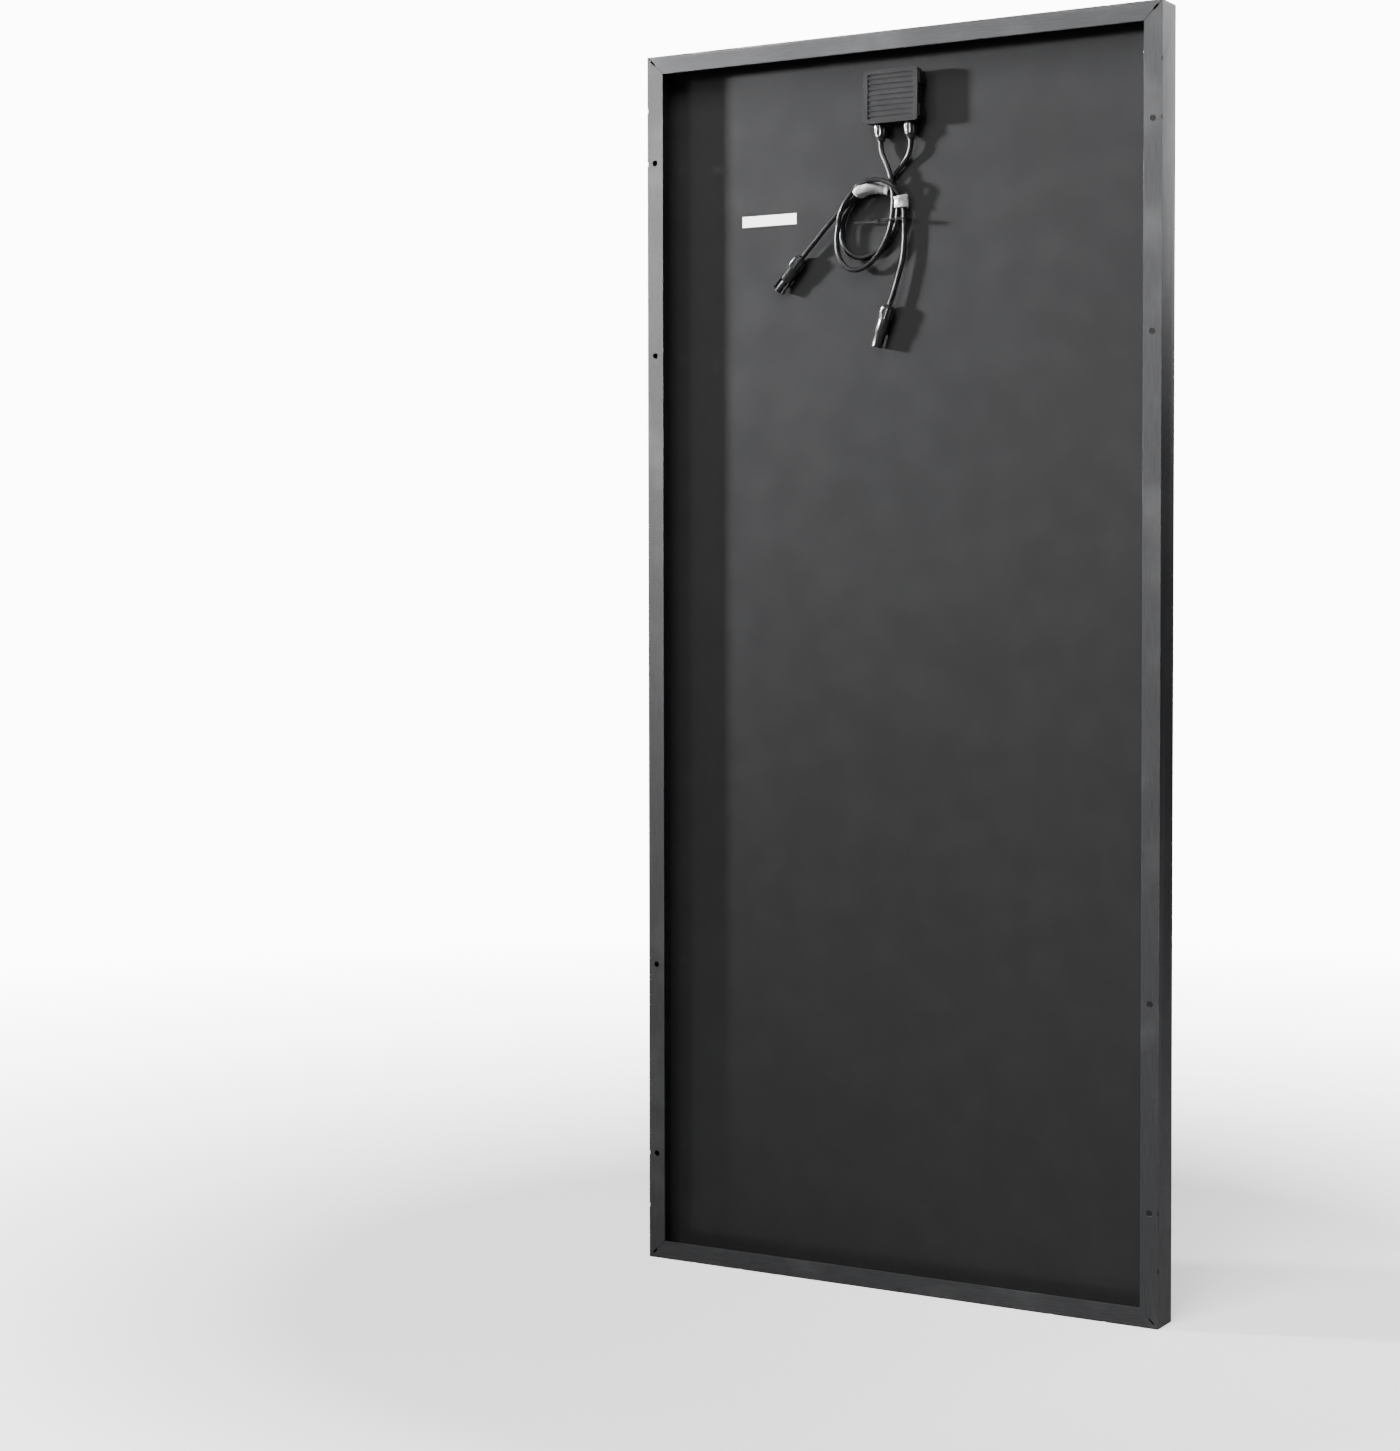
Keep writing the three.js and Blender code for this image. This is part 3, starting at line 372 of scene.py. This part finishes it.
def backsheet_black():
    """Black film over the laminate: a faint ripple, and the ribbons and cells pressed through."""
    finish = Finish("backsheet_black", (0.014, 0.0141, 0.0146), 0.2, Specular_IOR_Level=0.22)
    ripple = finish.grain(22, 3)
    skin = finish.grain(1700, 2)
    across, up = finish.axis("X"), finish.axis("Z")
    column = finish.sum("PINGPONG", finish.sum("SUBTRACT", across, CELLS_LEFT), STRING_PITCH / 2)
    row = finish.sum("PINGPONG", finish.sum("SUBTRACT", up, CELLS_BOTTOM), ROW_PITCH / 2)
    ribbon = finish.sum("PINGPONG", finish.sum("ADD", across, RIBBON_SHIFT), RIBBON_PITCH / 2)
    finish.tint(finish.ramp(ripple, 0.4, 0.7, 0.0, 0.5), (0.0165, 0.0166, 0.0171))
    finish.tint(finish.ramp(skin, 0.6, 0.78, 0.0, 0.5), (0.028, 0.028, 0.028))
    finish.gloss(ripple, 0.16, 0.3)
    finish.relief(ripple, 0.00022, 0.3)
    finish.relief(skin, 0.00001, 0.5)
    finish.relief(finish.ramp(ribbon, 0.0, 0.0016, 1.0, 0.0), 0.00002, 0.3)
    finish.relief(finish.ramp(column, 0.0, 0.002), 0.00003, 0.3)
    finish.relief(finish.ramp(row, 0.0, 0.0012), 0.00002, 0.3)
    return finish.material


def white_label():
    finish = Finish("white_label", (0.74, 0.74, 0.72), 0.45)
    fibre = finish.grain(500, 4)
    finish.tint(finish.ramp(fibre, 0.45, 0.75), (0.6, 0.6, 0.58))
    finish.gloss(fibre, 0.35, 0.6)
    return finish.relief(fibre, 0.00003, 0.5).material


def moulded_plastic(name, colour, light, roughness, shine):
    """Moulded black plastic with the fine spark-eroded skin of its mould."""
    finish = Finish(name, colour, roughness, Specular_IOR_Level=shine)
    skin = finish.grain(1500, 3)
    cloud = finish.grain(60, 3)
    finish.tint(finish.ramp(cloud, 0.4, 0.75, 0.0, 0.7), light)
    finish.tint(finish.ramp(skin, 0.6, 0.8, 0.0, 0.5), tuple(2.2 * part for part in light))
    finish.gloss(finish.sum("MULTIPLY_ADD", skin, 0.5, finish.sum("MULTIPLY", cloud, 0.5)),
                 roughness - 0.1, roughness + 0.12)
    return finish.relief(skin, 0.00005, 0.5).material


def cable_jacket():
    """Cross-linked black jacket: satin, slightly scuffed."""
    finish = Finish("cable_jacket", (0.006, 0.006, 0.0065), 0.34, Specular_IOR_Level=0.14)
    scuff = finish.grain(240, 5)
    skin = finish.grain(2200, 2)
    finish.tint(finish.ramp(scuff, 0.5, 0.78), (0.02, 0.02, 0.02))
    finish.gloss(scuff, 0.24, 0.42)
    finish.relief(scuff, 0.00006, 0.4)
    return finish.relief(skin, 0.00002, 0.5).material


STRIPPED_ABOVE = 1.385


def held_cable():
    """The stretch inside the gland: jacket below, bare strands above."""
    finish = Finish("held_cable", (0.017, 0.017, 0.018), 0.38)
    bare = finish.ramp(finish.axis("Z"), STRIPPED_ABOVE - 0.0001, STRIPPED_ABOVE + 0.0001)
    strand = finish.grain(1400, 2, (1, 1, 0.05), (0.3, 0, 0))
    finish.tint(bare, (0.75, 0.38, 0.2))
    finish.tint(finish.sum("MULTIPLY", bare, finish.ramp(strand, 0.45, 0.6)), (0.35, 0.16, 0.08))
    finish.links.new(bare, finish.shader.inputs["Metallic"])
    return finish.relief(strand, 0.0001, 0.5).material


def wrap_film():
    """Milky stretch film, wound round the cables, with painted shade along its creases."""
    finish = Finish("wrap_film", (0.3, 0.3, 0.295), 0.3)
    crease = finish.grain(160, 5, (1, 1, 1), (0.4, 0.3, 0.7))
    haze = finish.grain(70, 3)
    # Painted shade: the base colour darkens along the crease pattern, the same pattern the bump raises.
    finish.tint(finish.ramp(crease, 0.5, 0.72), (0.11, 0.11, 0.108))
    finish.tint(finish.ramp(haze, 0.5, 0.7, 0.0, 0.5), (0.44, 0.44, 0.43))
    finish.gloss(crease, 0.2, 0.5)
    return finish.relief(crease, 0.0006, 0.7).material


frame_upright = anodised_frame("frame_upright", "Z")
frame_level = anodised_frame("frame_level", "X")
rubber = black_rubber()
ribbon_metal = tinned_ribbon()
terminal_metal = tinned_copper()
box_plastic = moulded_plastic("box_plastic", (0.007, 0.007, 0.0075), (0.011, 0.011, 0.0115), 0.42, 0.12)
nut_plastic = moulded_plastic("nut_plastic", (0.006, 0.006, 0.0065), (0.01, 0.01, 0.0105), 0.24, 0.35)
film = clear_film()
cable_black = cable_jacket()
wrap_white = wrap_film()
cell_black = solar_cell()
key_metal = cast_aluminium()

CAD_FINISHES = {
    "corner_key_bottom_left": key_metal,
    "corner_key_bottom_right": key_metal,
    "corner_key_top_left": key_metal,
    "corner_key_top_right": key_metal,
    "edge_seal": rubber,
    "front_glass": panel_glass(),
    "front_encapsulant": film,
    "rear_encapsulant": film,
    "backsheet": backsheet_black(),
    "barcode_label": white_label(),
    "bus_bottom_left": ribbon_metal,
    "bus_bottom_right": ribbon_metal,
    "bus_top_negative": ribbon_metal,
    "bus_top_positive": ribbon_metal,
    "lid_gasket": rubber,
    "terminal_positive": terminal_metal,
    "terminal_negative": terminal_metal,
    "bypass_diode_1": rubber,
    "bypass_diode_2": rubber,
    "gland_seal_positive": rubber,
    "gland_seal_negative": rubber,
    "cable_positive_inner": held_cable(),
    "connector_positive_contact": terminal_metal,
    "connector_negative_contact": terminal_metal,
    "connector_positive_seal": rubber,
    "connector_negative_seal": rubber,
}
CAD_FINISHES["cable_negative_inner"] = CAD_FINISHES["cable_positive_inner"]
for string in range(STRINGS):
    CAD_FINISHES[f"cell_string_{string + 1}"] = cell_black


def coat(piece, material):
    piece.data.materials.clear()
    piece.data.materials.append(material)


for node, material in CAD_FINISHES.items():
    coat(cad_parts[node], material)
for cable in (positive_cable, negative_cable):
    coat(cable, cable_black)

# ---------------------------------------------------------------- pieces


def add_piece(name, shape, material, body=PANEL, smooth=False):
    """A bmesh becomes a piece that rides on a body."""
    mesh = bpy.data.meshes.new(name)
    shape.to_mesh(mesh)
    shape.free()
    if smooth:
        mesh.shade_smooth()
    piece = bpy.data.objects.new(name, mesh)
    bpy.context.scene.collection.objects.link(piece)
    coat(piece, material)
    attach(piece, body)
    return piece


WELD_DISTANCE = 0.000002
FLAT_ANGLE = math.radians(0.6)
SHARP_ANGLE = math.radians(32)


def soften(node, material, width, body=PANEL, segments=2):
    """A copy of a CAD piece with its hard edges rounded, which stands for it."""
    shape = bmesh.new()
    shape.from_mesh(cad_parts[node].data)
    bmesh.ops.remove_doubles(shape, verts=shape.verts, dist=WELD_DISTANCE)
    bmesh.ops.dissolve_limit(shape, angle_limit=FLAT_ANGLE, verts=shape.verts, edges=shape.edges)
    piece = add_piece(f"{node}_finished", shape, material, body, smooth=True)
    piece.data.set_sharp_from_angle(angle=SHARP_ANGLE)
    edges = piece.modifiers.new("rounded_edges", "BEVEL")
    edges.width = width
    edges.segments = segments
    edges.limit_method = "ANGLE"
    edges.angle_limit = SHARP_ANGLE
    edges.harden_normals = True
    edges.use_clamp_overlap = True
    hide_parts(node)
    return piece


soften("frame_side_left", frame_upright, 0.0004)
soften("frame_side_right", frame_upright, 0.0004)
soften("frame_top", frame_level, 0.0004)
soften("frame_bottom", frame_level, 0.0004)

soften("junction_box_base", box_plastic, 0.0003)
soften("junction_box_lid", box_plastic, 0.00035, body="lid", segments=3)
soften("box_adhesive", rubber, 0.0003)
soften("gland_nut_positive", nut_plastic, 0.00025, body="gland_nut_pos")
soften("gland_nut_negative", nut_plastic, 0.00025, body="gland_nut_neg")
soften("cable_tie", nut_plastic, 0.0003)

for pole, nut_body in (("positive", "connector_nut_pos"), ("negative", "connector_nut_neg")):
    soften(f"connector_{pole}_body", nut_plastic, 0.00025)
    soften(f"connector_{pole}_nut", nut_plastic, 0.00025, body=nut_body)

# ---------------------------------------------------------------- ribbons

RIBBON_WIDTH = 0.0009
RIBBON_BACK_Y = -0.0138
RIBBON_FRONT_Y = -0.014
RIBBON_END = 0.0021
LOWEST_RIBBON = 0.0148
TOP_STRIP = (HEIGHT - 0.0165, HEIGHT - 0.0148)


def box_shape(shape, low, high):
    """Adds a box between two corners."""
    low, high = Vector(low), Vector(high)
    matrix = Matrix.Translation((low + high) / 2) @ Matrix.Diagonal((*(high - low), 1))
    bmesh.ops.create_cube(shape, size=1, matrix=matrix)


def string_ribbons(string):
    """Nine ribbons on each half cell, stopping short of its edges where they would dive behind the next
    cell, and the strip above them.
    """
    shape = bmesh.new()
    left = CELLS_LEFT + string * STRING_PITCH
    first = left + (CELL_WIDTH - (RIBBONS - 1) * RIBBON_PITCH) / 2
    half = RIBBON_WIDTH / 2
    for row in range(ROWS):
        bottom = CELLS_BOTTOM + row * ROW_PITCH + RIBBON_END
        top = CELLS_BOTTOM + row * ROW_PITCH + CELL_HEIGHT - RIBBON_END
        if row == 0:
            bottom = LOWEST_RIBBON
        if row == ROWS - 1:
            top = TOP_STRIP[0]
        for ribbon in range(RIBBONS):
            x = first + ribbon * RIBBON_PITCH
            box_shape(shape, (x - half, RIBBON_FRONT_Y, bottom), (x + half, RIBBON_BACK_Y, top))
    last = first + (RIBBONS - 1) * RIBBON_PITCH
    box_shape(
        shape,
        (first - half, RIBBON_FRONT_Y, TOP_STRIP[0]),
        (last + half, RIBBON_BACK_Y, TOP_STRIP[1]),
    )
    piece = add_piece(f"ribbons_{string + 1}", shape, ribbon_metal)
    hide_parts(f"string_ribbons_{string + 1}")


for string in range(STRINGS):
    string_ribbons(string)

# ---------------------------------------------------------------- film wraps


FILM_THICKNESS = 0.00025
SLEEVE_SIDES = 36
FOLDS_PER_METRE = 190
CREASES_PER_METRE = 520
CREASE_SHARE = 0.45


def film_sleeve(name, stations, replaced, turns=2.5, crumple=0.9):
    """A tube of crumpled film round the cables.

    Each station is its centre, half height and half depth, in millimetres. crumple is the depth of
    the folds in millimetres, and turns gives each sleeve folds of its own.
    """
    shape = bmesh.new()
    centres = place_mm([station[0] for station in stations])
    places = []
    for index, (_, half_height, half_depth) in enumerate(stations):
        ahead = centres[min(index + 1, len(centres) - 1)] - centres[max(index - 1, 0)]
        along = ahead.normalized()
        outwards = Vector((0, 1, 0)) - along * along.y
        side = along.cross(outwards).normalized()
        turn = Matrix((side, outwards.normalized(), along)).transposed().to_4x4()
        size = Matrix.Diagonal((half_height * MM, half_depth * MM, 1, 1))
        places.append(Matrix.Translation(centres[index]) @ turn @ size)
    ring = bmesh.ops.create_circle(shape, segments=SLEEVE_SIDES, radius=1, matrix=places[0])["verts"]
    edges = list({edge for corner in ring for edge in corner.link_edges})
    for before, after in zip(places, places[1:]):
        grown = bmesh.ops.extrude_edge_only(shape, edges=edges)["geom"]
        edges = [item for item in grown if isinstance(item, bmesh.types.BMEdge)]
        corners = [item for item in grown if isinstance(item, bmesh.types.BMVert)]
        edges = [edge for edge in edges if all(corner in corners for corner in edge.verts)]
        bmesh.ops.transform(shape, matrix=after @ before.inverted(), verts=corners)
    bmesh.ops.subdivide_edges(shape, edges=shape.edges[:], cuts=1, use_grid_fill=True)
    bmesh.ops.recalc_face_normals(shape, faces=shape.faces)
    shape.normal_update()
    moves = []
    for corner in shape.verts:
        fold = noise.noise(corner.co * FOLDS_PER_METRE + Vector((turns, 0, 0)))
        crease = noise.noise(corner.co * CREASES_PER_METRE)
        moves.append(corner.normal * (fold + crease * CREASE_SHARE) * crumple * MM)
    for corner, move in zip(shape.verts, moves):
        corner.co += move
    piece = add_piece(name, shape, wrap_white, smooth=True)
    wall = piece.modifiers.new("film_thickness", "SOLIDIFY")
    wall.thickness = FILM_THICKNESS
    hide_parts(replaced)
    return piece


wide_wrap = film_sleeve(
    "wide_film_wrap",
    [
        ((55, -1.2, 1297.2), 7.6, 10.6),
        ((52, -0.8, 1298.8), 8.3, 11.4),
        ((47, -0.8, 1300.9), 8.2, 11.2),
        ((41, -1.4, 1302), 7.8, 10.6),
        ((35, -3.4, 1302.2), 7, 8.8),
        ((29, -5.6, 1301.4), 6.6, 6.9),
        ((23, -6.3, 1300), 6.3, 6.4),
        ((17.5, -6.3, 1298.2), 6.5, 6.6),
        ((14.5, -6.3, 1296.8), 6, 6.2),
    ],
    "cable_wrap_wide",
)
small_wrap = film_sleeve(
    "small_film_wrap",
    [
        ((0.6, -4.2, 1290.5), 9.4, 8.6),
        ((0.4, -4.4, 1289), 9.7, 8.6),
        ((0, -4.8, 1286), 9.2, 8.1),
        ((-0.2, -4.9, 1283), 9.4, 8.2),
        ((-0.3, -5, 1280), 9.2, 8),
        ((-0.3, -5, 1277.5), 9.6, 8.2),
        ((-0.3, -5, 1276.2), 9, 7.8),
    ],
    "cable_wrap_small",
    turns=7.5,
    crumple=0.8,
)

# ---------------------------------------------------------------- floor and light

BACKDROP = 12.0
DIM_WORLD = 0.05
BRIGHT_WORLD = 0.9
BRIGHT_SIDE = (0.2, 1.0, 0.6)
BRIGHT_RANGE = (0.55, 1.15)
FADE_RANGE = (0.7, 3.4)
NEAR_GLOW = 0.07


def make_floor():
    """A pale floor that passes into the white backdrop with distance, and throws little light back up."""
    shape = bmesh.new()
    bmesh.ops.create_grid(shape, x_segments=1, y_segments=1, size=20)
    mesh = bpy.data.meshes.new("floor")
    shape.to_mesh(mesh)
    shape.free()
    floor = bpy.data.objects.new("floor", mesh)
    bpy.context.scene.collection.objects.link(floor)
    finish = Finish("floor_paint", (0.24, 0.24, 0.25), 0.4)
    distance = finish.node("ShaderNodeVectorMath", Vector=finish.place())
    distance.operation = "LENGTH"
    far = finish.ramp(distance.outputs["Value"], *FADE_RANGE, NEAR_GLOW, 1.0)
    seen = finish.node("ShaderNodeLightPath").outputs["Is Camera Ray"]
    finish.tint(seen, (0.95, 0.95, 0.955))
    backdrop = finish.node("ShaderNodeEmission", Strength=BACKDROP)
    mixer = finish.nodes.new("ShaderNodeMixShader")
    finish.links.new(finish.sum("MULTIPLY", far, seen), mixer.inputs[0])
    finish.links.new(finish.shader.outputs[0], mixer.inputs[1])
    finish.links.new(backdrop.outputs[0], mixer.inputs[2])
    finish.links.new(mixer.outputs[0], finish.nodes["Material Output"].inputs["Surface"])
    coat(floor, finish.material)


def area_light(name, place, target, size, power, spread=180):
    """A square lamp aimed at a point. spread is the angle of its beam in degrees."""
    data = bpy.data.lights.new(name, "AREA")
    data.size = size
    data.energy = power
    data.spread = math.radians(spread)
    light = bpy.data.objects.new(name, data)
    bpy.context.scene.collection.objects.link(light)
    light.location = place
    light.rotation_mode = "QUATERNION"
    light.rotation_quaternion = (Vector(target) - Vector(place)).to_track_quat("-Z", "Y")


def make_world():
    """Soft light, strongest from one side and above, before a bright white backdrop."""
    world = bpy.data.worlds.new("studio")
    bpy.context.scene.world = world
    world.use_nodes = True
    nodes, links = world.node_tree.nodes, world.node_tree.links
    around = nodes["Background"]
    around.inputs["Color"].default_value = (1, 1, 1, 1)
    direction = nodes.new("ShaderNodeTexCoord")
    facing = nodes.new("ShaderNodeVectorMath")
    facing.operation = "DOT_PRODUCT"
    facing.inputs[1].default_value = BRIGHT_SIDE
    strength = nodes.new("ShaderNodeMapRange")
    strength.interpolation_type = "SMOOTHSTEP"
    strength.inputs["From Min"].default_value = BRIGHT_RANGE[0]
    strength.inputs["From Max"].default_value = BRIGHT_RANGE[1]
    strength.inputs["To Min"].default_value = DIM_WORLD
    strength.inputs["To Max"].default_value = BRIGHT_WORLD
    links.new(direction.outputs["Generated"], facing.inputs[0])
    links.new(facing.outputs["Value"], strength.inputs["Value"])
    links.new(strength.outputs["Result"], around.inputs["Strength"])
    backdrop = nodes.new("ShaderNodeBackground")
    backdrop.inputs["Color"].default_value = (1, 1, 1, 1)
    backdrop.inputs["Strength"].default_value = BACKDROP
    rays = nodes.new("ShaderNodeLightPath")
    mixer = nodes.new("ShaderNodeMixShader")
    links.new(rays.outputs["Is Camera Ray"], mixer.inputs[0])
    links.new(around.outputs[0], mixer.inputs[1])
    links.new(backdrop.outputs[0], mixer.inputs[2])
    links.new(mixer.outputs[0], nodes["World Output"].inputs["Surface"])


make_floor()
make_world()
area_light("key", (3.2, 1.3, 1.7), (0, 0, 1.35), 0.25, 60, spread=44)
area_light("top", (-0.4, 3.2, 4.2), (0, 0.1, 0.5), 2.4, 400)
area_light("front", (-1.6, -3.4, 2.6), (0, 0, 0.8), 2.2, 60)

# ---------------------------------------------------------------- close

bpy.context.view_layer.update()
